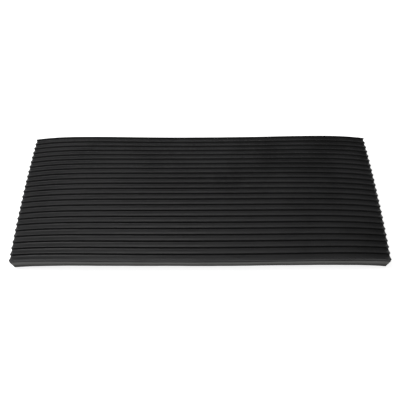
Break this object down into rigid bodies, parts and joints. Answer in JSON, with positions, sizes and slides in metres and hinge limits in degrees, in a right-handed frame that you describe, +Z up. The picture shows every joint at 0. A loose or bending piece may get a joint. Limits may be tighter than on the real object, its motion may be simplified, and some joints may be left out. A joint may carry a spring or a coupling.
{
  "type": "ribbed rubber mat",
  "caption": "Thick oblong rubber mat with rounded ribs along its top, a smooth underside and plain cut faces on all sides; lies slightly arched on a floor for grip and cushioning.",
  "frame": {"origin": "middle of the mat in plan, at the level of the floor it rests on", "axes": "+X along the ribs, +Y across the ribs to the back edge, +Z up"},
  "size_m": [0.5264, 0.228, 0.0315],
  "materials": {
    "rubber": "dull black, slightly paler on the cut faces"
  },
  "bodies": {
    "root": {"ribbed_mat": "rubber"}
  },
  "joints": []
}
